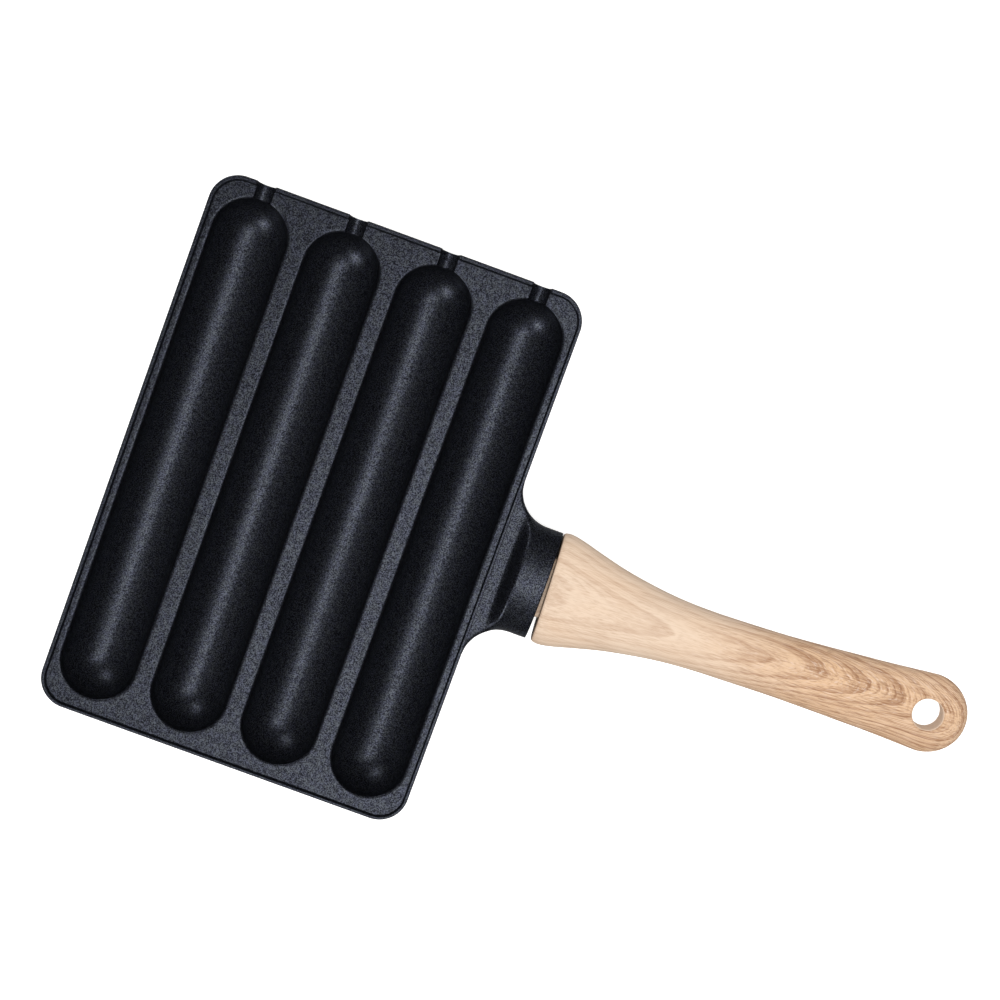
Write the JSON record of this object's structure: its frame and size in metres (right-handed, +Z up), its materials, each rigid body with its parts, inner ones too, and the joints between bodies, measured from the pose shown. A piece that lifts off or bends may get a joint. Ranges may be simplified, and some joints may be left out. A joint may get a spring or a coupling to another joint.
{
  "type": "hot dog pan",
  "caption": "Open frying pan with long round-bottomed troughs for sausages on sticks, notches for the sticks at one end and a wooden handle with a hanging hole.",
  "frame": {"origin": "middle of the base, on the surface that the pan stands on", "axes": "+Z up, +X from the pan towards the handle, +Y towards the end with the stick notches"},
  "size_m": [0.3539, 0.2262, 0.0428],
  "materials": {
    "black_coating": "dark non-stick coating with fine sparkle",
    "pale_wood": "oiled",
    "zinc_steel": "zinc plated",
    "brass": "turned"
  },
  "bodies": {
    "root": {"pan_body": "black_coating", "wooden_handle": "pale_wood", "threaded_insert": "brass", "handle_screw": "zinc_steel", "flat_washer": "zinc_steel", "spring_washer": "zinc_steel"}
  },
  "joints": []
}
